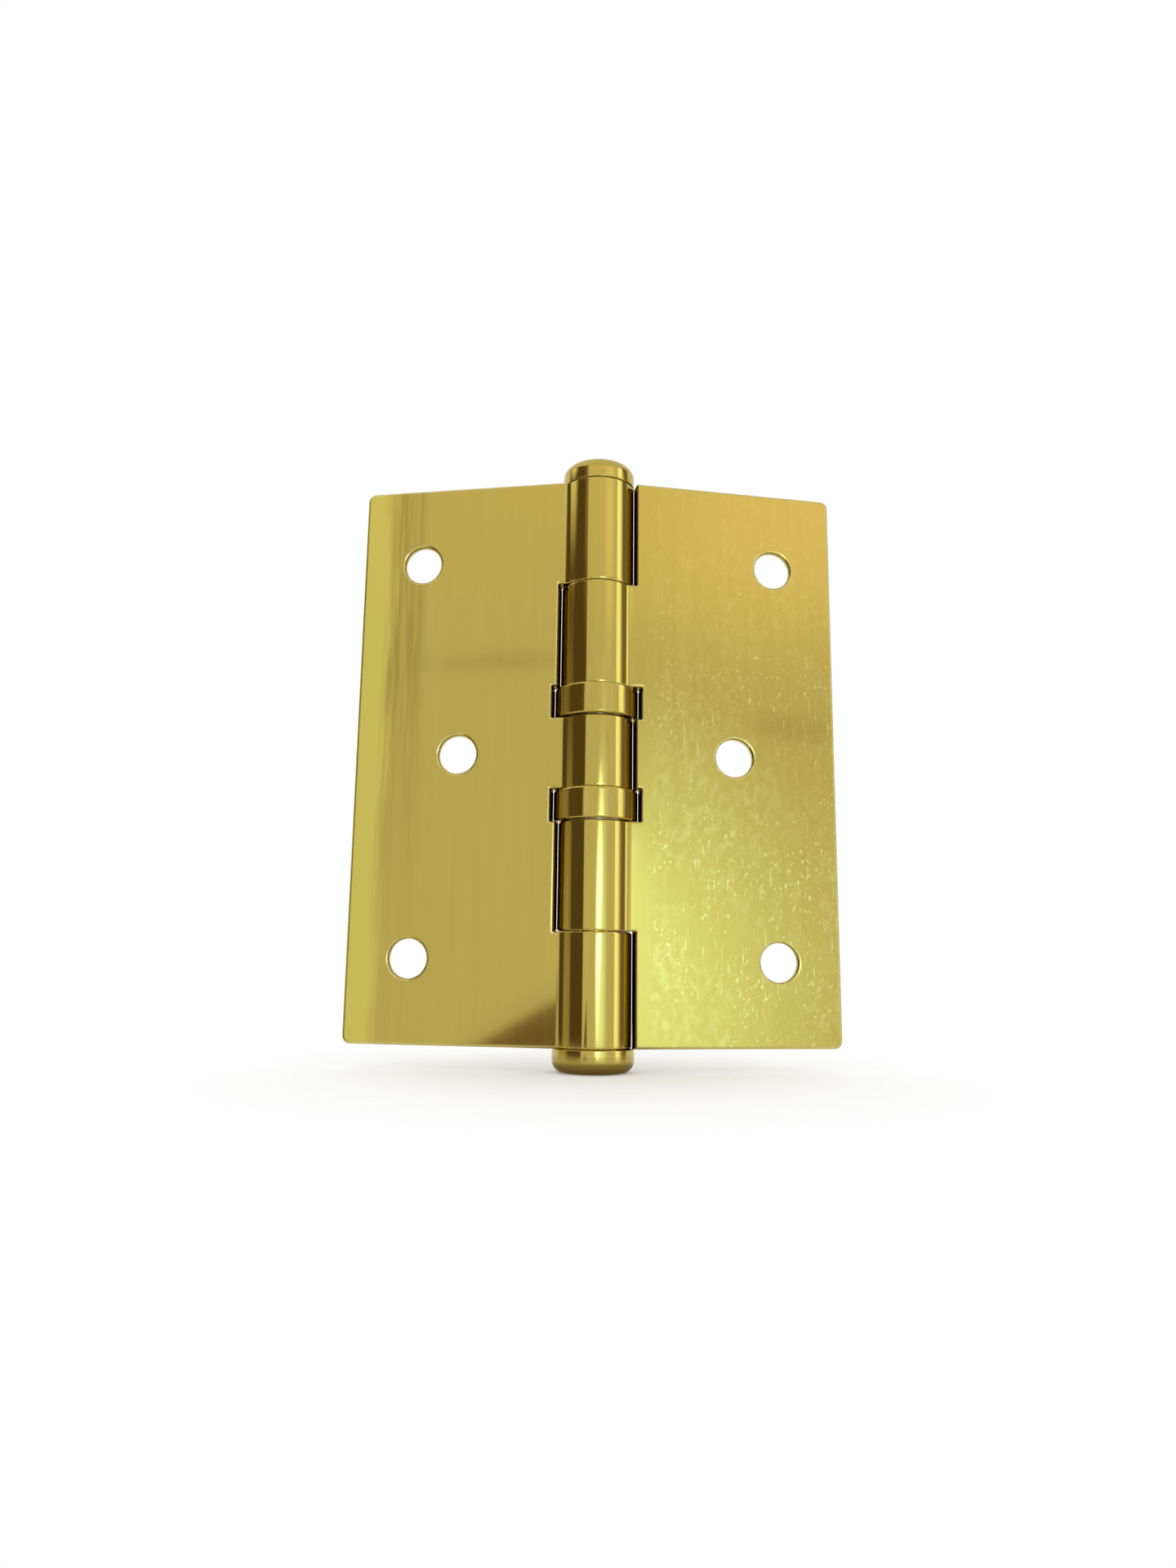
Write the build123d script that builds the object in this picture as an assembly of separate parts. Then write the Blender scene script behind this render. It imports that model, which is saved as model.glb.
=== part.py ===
"""Five-knuckle butt hinge with two ball bearings in its barrel and a lift-out pin.

Units are millimetres.  +Z runs up the pin.  The frame leaf lies along -X with its
back (mounting) face on the XZ plane, facing -Y.  The origin is on that face, midway
between the leaf's two outer screw holes.  The door leaf lies along +X, swung from
flat towards +Y by rest_fold, as the hinge lies when it is put down on its barrel.
"""
from build123d import *
import math
import os

# Leaves
leaf_height = 88.9
leaf_reach = 38.1              # pin axis to a leaf's outer edge
leaf_thickness = 2.5
closed_gap = 3.2               # between the two front faces when the leaves are folded shut
leaf_corner_radius = 1.2
edge_break = 0.25              # chamfer round a leaf's back face, its holes and its knuckle ends
rest_fold = 20.0               # degrees short of flat, at rest

# Screw holes, three in each leaf
hole_diameter = 6.0
countersink_diameter = 9.2
countersink_angle = 90.0
hole_edge_margin = 9.9         # outer holes, from the leaf's outer edge
hole_end_margin = 12.85        # outer holes, from the leaf's top and bottom
hole_stagger = 6.8             # middle hole, nearer the barrel than the outer ones

# Barrel
pin_diameter = 6.4
pin_clearance = 0.05           # radial, pin to knuckle bore
end_knuckle_length = 17.1
middle_knuckle_length = 11.2
knuckle_gap = 0.1              # running gap between neighbouring knuckles
neck_radius = 2.0              # hollow bend between a leaf's back and its knuckles
curl_seam = 0.2                # slit where a rolled knuckle comes back to its leaf
notch_clearance = 0.05         # a leaf's cut-outs to the knuckles and shells that turn in them

# Tips
head_overhang = 0.05           # radius of the pin's head over knuckle radius
plug_overhang = 0.45           # radius of the bottom plug over knuckle radius
tip_height = 3.6
tip_chamfer = 1.15             # on a tip's outer edge
pin_lead = 0.9                 # chamfer on the pin's lower end
spigot_length = 6.0
spigot_clearance = 0.02        # radial, plug to bore
spigot_chamfer = 0.5
pin_end_gap = 0.5              # pin to plug
knock_out_diameter = 2.6

# Ball bearings
ball_diameter = 1.5
ball_count = 10
ball_clearance = 0.04          # ball to race
cage_wall = 0.2                # cage left inside and outside a ball pocket
cage_thickness = 0.7
cage_clearance = 0.05          # cage to pin, to shell and to each ball
race_thickness = 1.11
race_bore_clearance = 0.1      # radial, race to pin
top_race_fit = 0.02            # radial, seated race to shell
bottom_race_clearance = 0.1    # radial, turning race to shell
shell_wall = 1.2
shell_lip_gap = 0.1            # shell's open rim to the knuckle below it
shell_chamfer = 0.4            # on the shell's upper outer edge

# Worked out from the sizes above
half_height = leaf_height / 2
front_offset = closed_gap / 2
back_offset = front_offset + leaf_thickness
hole_reach = leaf_reach - hole_edge_margin
hole_rise = half_height - hole_end_margin
pin_radius = pin_diameter / 2
bore_radius = pin_radius + pin_clearance
knuckle_radius = bore_radius + leaf_thickness
head_radius = knuckle_radius + head_overhang
plug_radius = knuckle_radius + plug_overhang
ball_radius = ball_diameter / 2
pocket_reach = ball_radius + cage_clearance
race_bore_radius = pin_radius + race_bore_clearance
cage_inner_radius = race_bore_radius
pitch_radius = cage_inner_radius + cage_wall + pocket_reach
cage_outer_radius = pitch_radius + pocket_reach + cage_wall
shell_inner_radius = cage_outer_radius + cage_clearance
shell_radius = shell_inner_radius + shell_wall
race_spacing = ball_diameter + 2 * ball_clearance
bearing_height = 2 * race_thickness + race_spacing + shell_wall

# Heights along the pin, from mid-height up; the lower half mirrors them
middle_top = middle_knuckle_length / 2
bearing_top = middle_top + bearing_height
end_bottom = half_height - end_knuckle_length
inner_top = end_bottom - knuckle_gap
FRAME_KNUCKLES = [(end_bottom, half_height), (-middle_top, middle_top), (-half_height, -end_bottom)]
DOOR_KNUCKLES = [(bearing_top, inner_top), (-inner_top, -bearing_top)]
BEARING_BOTTOMS = {"upper": middle_top, "lower": -bearing_top}

# The pin axis, seen from the origin
PIN_AXIS = Pos(hole_reach, back_offset, 0)


def square_cut_clearing(radius):
    """How far from the pin axis a square-cut leaf edge has to stop to clear a round barrel."""
    return math.sqrt((radius + notch_clearance) ** 2 - front_offset ** 2)


knuckle_notch = square_cut_clearing(knuckle_radius)
bearing_notch = square_cut_clearing(shell_radius)
neck_start = math.sqrt((knuckle_radius + neck_radius) ** 2 - (back_offset + neck_radius) ** 2)
TOUCH = 1e-3                   # how near counts as touching, when edges are picked


def turned(points):
    """Solid of revolution about the pin axis from (radius, height) points."""
    return revolve(Plane.XZ * make_face(Polyline(*points, close=True)), Axis.Z)


def is_open_edge(edge, knuckle_ends):
    """Whether a leaf's edge lies round its back face or round the outside of a knuckle's end."""
    box = edge.bounding_box()
    on_back = abs(box.min.Y + back_offset) + abs(box.max.Y + back_offset) < TOUCH
    blends_into_neck = abs(box.min.X - neck_start) + abs(box.max.X - neck_start) < TOUCH
    if on_back:
        return not blends_into_neck
    level = any(abs(box.min.Z - end) + abs(box.max.Z - end) < TOUCH for end in knuckle_ends)
    round_outside = edge.geom_type == GeomType.CIRCLE and abs(edge.radius - bore_radius) > TOUCH
    return level and round_outside


def knuckle_section():
    """Section of a rolled knuckle: the curl, its hollow neck and the start of the leaf."""
    strip_length = bearing_notch + neck_radius
    strip = Rectangle(strip_length, leaf_thickness, align=(Align.MIN, Align.MIN))
    outline = Circle(knuckle_radius) + Pos(0, -back_offset) * strip
    neck_x = math.sqrt(knuckle_radius ** 2 - back_offset ** 2)
    neck_corner = outline.vertices().sort_by_distance((neck_x, -back_offset, 0))[0]
    outline = fillet(neck_corner, neck_radius)
    slit = Pos(0, -front_offset) * Rectangle(knuckle_radius, curl_seam, align=(Align.MIN, Align.MIN))
    return outline - Circle(bore_radius) - slit


def leaf_plate():
    """Flat of a leaf, with rounded outer corners and the wider cut-outs beside the bearings."""
    width = leaf_reach - knuckle_notch
    blank = Rectangle(width, leaf_height, align=(Align.MIN, Align.CENTER))
    outline = fillet(blank.vertices().group_by(Axis.X)[-1], leaf_corner_radius)
    for bottom in BEARING_BOTTOMS.values():
        notch_depth = bearing_notch - knuckle_notch
        notch_height = bearing_height + 2 * notch_clearance
        notch = Rectangle(notch_depth, notch_height, align=(Align.MIN, Align.CENTER))
        outline -= Pos(0, bottom + bearing_height / 2) * notch
    back = Plane(origin=(knuckle_notch, -back_offset, 0), x_dir=(1, 0, 0), z_dir=(0, -1, 0))
    return extrude(back * outline, -leaf_thickness)


def screw_hole():
    """Cutter for a through hole, sunk on the front face and with its edge broken on the back."""
    hole_radius = hole_diameter / 2
    sink_radius = countersink_diameter / 2
    sink_depth = (sink_radius - hole_radius) / math.tan(math.radians(countersink_angle / 2))
    outline = Polyline(
        (0, -back_offset), (hole_radius + edge_break, -back_offset),
        (hole_radius, -back_offset + edge_break), (hole_radius, -front_offset - sink_depth),
        (sink_radius, -front_offset), (0, -front_offset), close=True,
    )
    return revolve(make_face(outline), Axis.Y)


def leaf(knuckles):
    """One leaf about the pin axis, flat along +X with its back towards -Y."""
    section = knuckle_section()
    body = leaf_plate()
    for bottom, top in knuckles:
        body += extrude(Pos(0, 0, bottom) * section, top - bottom)
    ends = [level for span in knuckles for level in span]
    body = chamfer(body.edges().filter_by(lambda edge: is_open_edge(edge, ends)), edge_break)
    hole = screw_hole()
    for reach, rise in ((hole_reach, hole_rise), (hole_reach - hole_stagger, 0), (hole_reach, -hole_rise)):
        body -= Pos(reach, 0, rise) * hole
    return body


def hinge_pin():
    """Pin with a button head, which rests on the top knuckle."""
    tip = half_height + tip_height
    end = -half_height + spigot_length + pin_end_gap
    return turned([
        (0, tip), (head_radius - tip_chamfer, tip), (head_radius, tip - tip_chamfer),
        (head_radius, half_height), (pin_radius, half_height),
        (pin_radius, end + pin_lead), (pin_radius - pin_lead, end), (0, end),
    ])


def bottom_plug():
    """Button that closes the barrel's lower end, with a hole to drive the pin out through."""
    tip = -half_height - tip_height
    spigot_radius = bore_radius - spigot_clearance
    top = -half_height + spigot_length
    knock_out_radius = knock_out_diameter / 2
    return turned([
        (knock_out_radius, tip), (plug_radius - tip_chamfer, tip), (plug_radius, tip + tip_chamfer),
        (plug_radius, -half_height), (spigot_radius, -half_height),
        (spigot_radius, top - spigot_chamfer), (spigot_radius - spigot_chamfer, top), (knock_out_radius, top),
    ])


def bearing_shell():
    """Drawn cup, open below, whose flat top meets the knuckle above."""
    ceiling = bearing_height - shell_wall
    return turned([
        (race_bore_radius, bearing_height), (shell_radius - shell_chamfer, bearing_height),
        (shell_radius, bearing_height - shell_chamfer), (shell_radius, shell_lip_gap),
        (shell_inner_radius, shell_lip_gap), (shell_inner_radius, ceiling), (race_bore_radius, ceiling),
    ])


def ring(inner_radius, outer_radius, thickness):
    """Flat ring about the pin axis, its lower face at height 0."""
    face = Circle(outer_radius) - Circle(inner_radius)
    return extrude(face, thickness)


def ball_places():
    """Places of the balls, evenly round the pitch circle at the height of their centres."""
    height = race_thickness + race_spacing / 2
    return [Pos(0, 0, height) * place for place in PolarLocations(pitch_radius, ball_count)]


def ball_cage():
    """Flat ring that spaces the balls, each in a square window."""
    level = race_thickness + (race_spacing - cage_thickness) / 2
    cage = Pos(0, 0, level) * ring(cage_inner_radius, cage_outer_radius, cage_thickness)
    for place in ball_places():
        cage -= place * Box(2 * pocket_reach, 2 * pocket_reach, 2 * cage_thickness)
    return cage


def balls():
    """The balls of one bearing, each a ball of 26 flats, which keeps a full set of them light."""
    block = Box(ball_diameter, ball_diameter, ball_diameter)
    ball = chamfer(block.edges(), ball_diameter * (1 - math.sqrt(0.5)))
    return Compound([place * ball for place in ball_places()])


def hinge_parts():
    """Every piece by name, about the pin axis at rest."""
    pieces = {
        "frame_leaf": mirror(leaf(FRAME_KNUCKLES), about=Plane.YZ),
        "door_leaf": Rot(0, 0, rest_fold) * leaf(DOOR_KNUCKLES),
        "hinge_pin": hinge_pin(),
        "bottom_plug": bottom_plug(),
    }
    bottom_race_radius = shell_inner_radius - bottom_race_clearance
    top_race_radius = shell_inner_radius - top_race_fit
    for name, bottom in BEARING_BOTTOMS.items():
        seat = Pos(0, 0, bottom)
        top_seat = seat * Pos(0, 0, race_thickness + race_spacing)
        pieces[name + "_bearing_shell"] = seat * bearing_shell()
        pieces[name + "_top_race"] = top_seat * ring(race_bore_radius, top_race_radius, race_thickness)
        pieces[name + "_bottom_race"] = seat * ring(race_bore_radius, bottom_race_radius, race_thickness)
        pieces[name + "_ball_cage"] = seat * ball_cage()
        pieces[name + "_balls"] = seat * balls()
    return pieces


os.makedirs("parts", exist_ok=True)
for node, piece in hinge_parts().items():
    export_step(PIN_AXIS * piece, f"parts/{node}.step")
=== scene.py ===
"""Dresses a ball-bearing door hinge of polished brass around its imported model, in a white studio."""
import logging
import math
from contextlib import contextmanager
from dataclasses import dataclass
from enum import Enum
from typing import Callable, Iterator, Optional, Sequence

import bmesh
import bpy
from mathutils import Matrix, Vector


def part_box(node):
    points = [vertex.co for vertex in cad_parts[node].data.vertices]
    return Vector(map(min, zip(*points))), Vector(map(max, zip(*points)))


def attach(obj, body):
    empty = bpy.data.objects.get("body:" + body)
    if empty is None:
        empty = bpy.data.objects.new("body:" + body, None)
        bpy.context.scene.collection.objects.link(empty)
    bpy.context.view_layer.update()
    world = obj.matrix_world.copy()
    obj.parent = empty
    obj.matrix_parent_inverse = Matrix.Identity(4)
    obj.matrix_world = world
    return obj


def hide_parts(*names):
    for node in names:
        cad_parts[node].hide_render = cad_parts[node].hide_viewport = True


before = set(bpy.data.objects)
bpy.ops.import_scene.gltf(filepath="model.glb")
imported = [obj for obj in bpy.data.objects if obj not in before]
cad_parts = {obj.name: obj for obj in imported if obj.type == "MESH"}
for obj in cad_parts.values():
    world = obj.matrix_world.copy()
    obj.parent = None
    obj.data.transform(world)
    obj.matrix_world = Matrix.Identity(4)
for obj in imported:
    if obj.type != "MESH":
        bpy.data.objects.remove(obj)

log = logging.getLogger("hinge")

MM = 0.001
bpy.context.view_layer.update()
PHOTO_HEIGHT_PX = 1920
SENSOR_MM = 36.0
ROUND_STEPS = 128              # sides of a turned circle
ROUND_SEGMENTS = 8             # facets across a rounded edge
FLOOR_STEPS = 96               # sides of the floor's rim, which has faded out before it shows
NEAR = 1e-6                    # metres within which two points count as one
TURNED_SMOOTH_BELOW = 32       # degrees; a turned piece keeps sharper edges than this
BALL_SMOOTH_BELOW = 60         # degrees; a ball has no edge as sharp
SECOND_BOUNCE = 1.5            # a glossy depth above this is a second reflection or a later one
MIX_SHARE, MIX_FROM, MIX_TO, MIX_RESULT = 0, 6, 7, 2    # a Mix node's sockets when it mixes colours


def node_middle(node: str) -> Vector:
    """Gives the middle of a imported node's box."""
    low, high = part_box(node)
    return (Vector(low) + Vector(high)) / 2


PIN_AXIS = node_middle("hinge_pin")


def linear(hex_colour: str) -> tuple[float, float, float, float]:
    """Turns an sRGB hex colour into linear RGBA.

    Args:
        hex_colour: Colour such as "#B5A14E".

    Returns:
        Linear red, green and blue, with an alpha of 1.
    """
    values = [int(hex_colour[i:i + 2], 16) / 255 for i in (1, 3, 5)]
    red, green, blue = [v / 12.92 if v <= 0.04045 else ((v + 0.055) / 1.055) ** 2.4 for v in values]
    return (red, green, blue, 1.0)


def add_node(tree: bpy.types.NodeTree, kind: str, settings: Optional[dict] = None,
             inputs: Optional[dict] = None) -> bpy.types.Node:
    """Adds a node with its settings, and sets or links its inputs.

    Args:
        tree: Node tree that gets the node.
        kind: Blender's name for the kind of node.
        settings: Properties of the node itself.
        inputs: Values or output sockets, by the input's name or number.

    Returns:
        The new node.
    """
    node = tree.nodes.new(kind)
    for key, value in (settings or {}).items():
        setattr(node, key, value)
    for key, value in (inputs or {}).items():
        if isinstance(value, bpy.types.NodeSocket):
            tree.links.new(value, node.inputs[key])
        else:
            node.inputs[key].default_value = value
    return node


def new_material(name: str) -> tuple[bpy.types.Material, bpy.types.NodeTree]:
    """Makes an empty node material.

    Args:
        name: Material and process, in words.

    Returns:
        The material and its node tree, which holds nothing yet.
    """
    material = bpy.data.materials.new(name)
    material.use_nodes = True
    material.node_tree.nodes.clear()
    return material, material.node_tree


def pick(piece: bpy.types.Object) -> None:
    """Selects one object alone and makes it active.

    Args:
        piece: Object to work on.
    """
    bpy.ops.object.select_all(action="DESELECT")
    piece.select_set(True)
    bpy.context.view_layer.objects.active = piece


@contextmanager
def editing(piece: bpy.types.Object) -> Iterator[None]:
    """Opens a piece in edit mode and closes it again.

    Args:
        piece: Object to edit.
    """
    pick(piece)
    bpy.ops.object.mode_set(mode="EDIT")
    yield
    bpy.ops.object.mode_set(mode="OBJECT")


def select_edges(piece: bpy.types.Object, wanted: Callable[[bmesh.types.BMEdge], bool]) -> None:
    """Selects the edges of a piece in edit mode that pass a test, and nothing else.

    Args:
        piece: Object in edit mode.
        wanted: Test on an edge.
    """
    bpy.ops.mesh.select_mode(type="EDGE")
    bpy.ops.mesh.select_all(action="DESELECT")
    mesh = bmesh.from_edit_mesh(piece.data)
    for edge in mesh.edges:
        edge.select_set(wanted(edge))
    bmesh.update_edit_mesh(piece.data)


def finish_mesh(piece: bpy.types.Object, name: str, smooth_angle: float) -> bpy.types.Object:
    """Puts a piece's place into its mesh, shades it by angle and names it.

    Args:
        piece: New object.
        name: Name that the piece keeps.
        smooth_angle: Edges sharper than this, in degrees, stay sharp.

    Returns:
        The same object.
    """
    pick(piece)
    bpy.ops.object.transform_apply(location=True, rotation=True, scale=True)
    bpy.ops.object.shade_smooth_by_angle(angle=math.radians(smooth_angle))
    even = piece.modifiers.new("even_normals", "WEIGHTED_NORMAL")
    even.keep_sharp = True
    bpy.ops.object.modifier_apply(modifier=even.name)
    piece.name = name
    piece.data.name = name
    return piece


@dataclass(frozen=True)
class EdgeRound:
    """A round along one turned edge.

    Attributes:
        radius: Radius of the edge's circle in metres.
        height: Height of the edge's circle in metres.
        size: Radius of the round in metres.
    """

    radius: float
    height: float
    size: float

    def is_on(self, edge: bmesh.types.BMEdge) -> bool:
        """Tells whether an edge of a turned mesh lies on this circle."""
        return all(
            abs(math.hypot(corner.co.x - PIN_AXIS.x, corner.co.y - PIN_AXIS.y) - self.radius) < NEAR
            and abs(corner.co.z - self.height) < NEAR
            for corner in edge.verts
        )


@dataclass(frozen=True)
class TurnedPiece:
    """A piece turned about the pin axis.

    Attributes:
        name: Name of the piece.
        profile: Radius and height of each corner in metres, in order.
        has_bore: Whether the profile closes on itself round a bore.
        rounds: Rounds on some of the corners.
    """

    name: str
    profile: Sequence[tuple[float, float]]
    has_bore: bool
    rounds: Sequence[EdgeRound]

    def build(self) -> bpy.types.Object:
        """Models the piece: a circle is extruded and scaled from corner to corner, then rounded.

        Returns:
            The finished mesh object.
        """
        bpy.ops.object.select_all(action="DESELECT")
        radius, height = self.profile[0]
        bpy.ops.mesh.primitive_circle_add(
            vertices=ROUND_STEPS, radius=radius, fill_type="NOTHING" if self.has_bore else "NGON",
            location=(PIN_AXIS.x, PIN_AXIS.y, height),
        )
        piece = bpy.context.object
        bpy.ops.object.transform_apply(location=True)
        corners = [*self.profile[1:], *(self.profile[:1] if self.has_bore else [])]
        with editing(piece):
            bpy.ops.mesh.select_mode(type="EDGE" if self.has_bore else "FACE")
            bpy.ops.mesh.select_all(action="SELECT")
            for next_radius, next_height in corners:
                rise = (0, 0, next_height - height)
                bpy.ops.mesh.extrude_region_move(TRANSFORM_OT_translate={"value": rise})
                share = next_radius / radius
                bpy.ops.transform.resize(
                    value=(share, share, 1), center_override=(PIN_AXIS.x, PIN_AXIS.y, next_height))
                radius, height = next_radius, next_height
            bpy.ops.mesh.select_all(action="SELECT")
            bpy.ops.mesh.remove_doubles(threshold=NEAR)
            bpy.ops.mesh.normals_make_consistent(inside=False)
            for item in self.rounds:
                select_edges(piece, item.is_on)
                bpy.ops.mesh.bevel(
                    offset=item.size, offset_type="OFFSET", segments=ROUND_SEGMENTS, affect="EDGES")
        return finish_mesh(piece, self.name, TURNED_SMOOTH_BELOW)


@dataclass(frozen=True)
class RoundedEdgeHighlight:
    """Edges that the polishing wheel has rounded, with a painted highlight along the round.

    Attributes:
        radius: Radius of the round in metres.
        colour: Colour of the painted highlight.
        bend: Cosine of the round's turn from the face at which the painted highlight starts, and at which
            it is full.
        share: Share of the highlight colour where it is full.
    """

    radius: float = 0.4 * MM
    colour: str = "#E6DC9A"
    bend: tuple[float, float] = (0.998, 0.94)
    share: float = 0.7

    def add_painted_light(self, tree: bpy.types.NodeTree, bump: bpy.types.Node,
            colour: bpy.types.NodeSocket) -> bpy.types.NodeSocket:
        """Rounds the normals that a bump starts from, and paints a pale highlight along the round.

        Args:
            tree: The material's node tree.
            bump: The material's Bump node.
            colour: Colour so far.

        Returns:
            The colour with its painted highlight along the edges.
        """
        rounded_normal = add_node(tree, "ShaderNodeBevel", {"samples": 8}, {"Radius": self.radius}).outputs[0]
        tree.links.new(rounded_normal, bump.inputs["Normal"])
        along = add_node(tree, "ShaderNodeVectorMath", {"operation": "DOT_PRODUCT"}, {
            0: rounded_normal, 1: add_node(tree, "ShaderNodeNewGeometry").outputs["Normal"]})
        highlight_share = add_node(tree, "ShaderNodeMapRange", {}, {
            "Value": along.outputs["Value"], "From Min": self.bend[0], "From Max": self.bend[1],
            "To Max": self.share})
        # Painted highlight: a pale colour mixed in along the rounded edges.
        return add_node(tree, "ShaderNodeMix", {"data_type": "RGBA"}, {
            MIX_SHARE: highlight_share.outputs[0], MIX_FROM: colour, MIX_TO: linear(self.colour)}).outputs[MIX_RESULT]


@dataclass(frozen=True)
class MetalFinish:
    """A metal surface with a grain left by its making.

    Attributes:
        name: Material and process.
        colour: Colour under plain light.
        pale: Colour where the polish catches more light.
        roughness: Lowest and highest roughness.
        grain: Size of one streak of the grain along X, Y and Z in millimetres.
        relief: Depth of the grain in metres.
        rounded_edge_highlight: Rounded edges with a painted highlight along them, or None where they stay
            crisp.
    """

    name: str
    colour: str
    pale: str
    roughness: tuple[float, float]
    grain: tuple[float, float, float]
    relief: float
    rounded_edge_highlight: Optional[RoundedEdgeHighlight] = None

    def material(self) -> bpy.types.Material:
        """Makes the node material, with the grain in its colour, roughness and bump.

        Returns:
            The material.
        """
        material, tree = new_material(self.name)
        place = self.place_mm(tree)
        streaks = add_node(tree, "ShaderNodeMapping", {}, {
            "Vector": place, "Scale": [1 / length for length in self.grain]})
        grain = add_node(tree, "ShaderNodeTexNoise", {}, {
            "Vector": streaks.outputs[0], "Scale": 1.0, "Detail": 3.0})
        tone = add_node(tree, "ShaderNodeMapRange", {}, {
            "Value": grain.outputs["Fac"], "From Min": 0.3, "From Max": 0.7})
        colour = add_node(tree, "ShaderNodeMix", {"data_type": "RGBA"}, {
            MIX_SHARE: tone.outputs[0], MIX_FROM: linear(self.colour),
            MIX_TO: linear(self.pale)}).outputs[MIX_RESULT]
        low, high = self.roughness
        rough = add_node(tree, "ShaderNodeMapRange", {}, {
            "Value": grain.outputs["Fac"], "To Min": low, "To Max": high}).outputs[0]
        colour, rough, height = self.marks(tree, place, colour, rough, grain.outputs["Fac"])
        bump = add_node(tree, "ShaderNodeBump", {}, {"Distance": self.relief, "Height": height})
        # Rounds the edges' normals and paints a pale highlight along them.
        if self.rounded_edge_highlight:
            colour = self.rounded_edge_highlight.add_painted_light(tree, bump, colour)
        shader = add_node(tree, "ShaderNodeBsdfPrincipled", {}, {
            "Base Color": colour, "Metallic": 1.0, "Roughness": rough, "Normal": bump.outputs[0]})
        add_node(tree, "ShaderNodeOutputMaterial", {}, {"Surface": shader.outputs[0]})
        return material

    def place_mm(self, tree: bpy.types.NodeTree) -> bpy.types.NodeSocket:
        """Adds Object coordinates in millimetres from the pin axis.

        Args:
            tree: The material's node tree.

        Returns:
            The socket that gives the coordinates.
        """
        return add_node(tree, "ShaderNodeMapping", {"vector_type": "TEXTURE"}, {
            "Vector": add_node(tree, "ShaderNodeTexCoord").outputs["Object"],
            "Location": (PIN_AXIS.x, PIN_AXIS.y, 0), "Scale": (MM, MM, MM)}).outputs[0]

    def marks(self, tree: bpy.types.NodeTree, place: bpy.types.NodeSocket, colour: bpy.types.NodeSocket,
              rough: bpy.types.NodeSocket, height: bpy.types.NodeSocket,
              ) -> tuple[bpy.types.NodeSocket, bpy.types.NodeSocket, bpy.types.NodeSocket]:
        """Adds what handling left on the surface, or painted light; a plain finish has nothing to add.

        Args:
            tree: The material's node tree.
            place: Coordinates in millimetres.
            colour: Colour so far.
            rough: Roughness so far.
            height: Relief so far.

        Returns:
            Colour, roughness and relief with the marks.
        """
        return colour, rough, height


@dataclass(frozen=True)
class LacquerMark:
    """One kind of pale mark in the lacquer, scattered in patches.

    Attributes:
        size: Size of one mark along X, Y and Z in millimetres.
        lean: Degrees that the marks lean from upright.
        level: Noise level at which a mark starts, and at which it is full.
        depth: Share of the full paleness.
        patch: Size of the patches in millimetres.
        patch_level: Noise level at which a patch starts, and at which it is full.
    """

    size: tuple[float, float, float]
    lean: float
    level: tuple[float, float]
    depth: float
    patch: float
    patch_level: tuple[float, float]

    def spots(self, tree: bpy.types.NodeTree, place: bpy.types.NodeSocket) -> bpy.types.NodeSocket:
        """Adds the nodes that say how much of this mark there is.

        Args:
            tree: The material's node tree.
            place: Coordinates in millimetres.

        Returns:
            Amount of the mark, from 0 to its depth.
        """
        both = []
        for size, level, full in (
            (self.size, self.level, self.depth), ((self.patch,) * 3, self.patch_level, 1.0),
        ):
            spread = add_node(tree, "ShaderNodeMapping", {}, {
                "Vector": place, "Rotation": (0, math.radians(self.lean), 0),
                "Scale": [1 / length for length in size]})
            noise = add_node(tree, "ShaderNodeTexNoise", {}, {
                "Vector": spread.outputs[0], "Scale": 1.0, "Detail": 2.0, "Roughness": 0.6})
            both.append(add_node(tree, "ShaderNodeMapRange", {}, {
                "Value": noise.outputs["Fac"], "From Min": level[0], "From Max": level[1],
                "To Max": full}).outputs[0])
        return add_node(tree, "ShaderNodeMath", {"operation": "MULTIPLY"}, {
            0: both[0], 1: both[1]}).outputs[0]


# Flecks, short scratches and wiped smudges, each at its real size.
LACQUER_MARKS = (
    LacquerMark((0.5, 0.5, 0.8), 24.0, (0.58, 0.70), 0.6, 9.0, (0.38, 0.58)),
    LacquerMark((0.35, 0.35, 3.6), 8.0, (0.62, 0.72), 0.55, 11.0, (0.46, 0.58)),
    LacquerMark((1.1, 1.1, 1.7), -25.0, (0.44, 0.80), 0.30, 15.0, (0.36, 0.60)),
)


class LeafMarks(Enum):
    """What a leaf shows besides its grain: marks in the lacquer, or a painted reflection."""

    # Painted reflection: a darker wavy band with a paler rim beside it.
    BUFFED_BAND = "a dull wavy band where the wheel passed"
    SPECKLED = "pale specks, smudges and hairline scratches in the lacquer"


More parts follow.
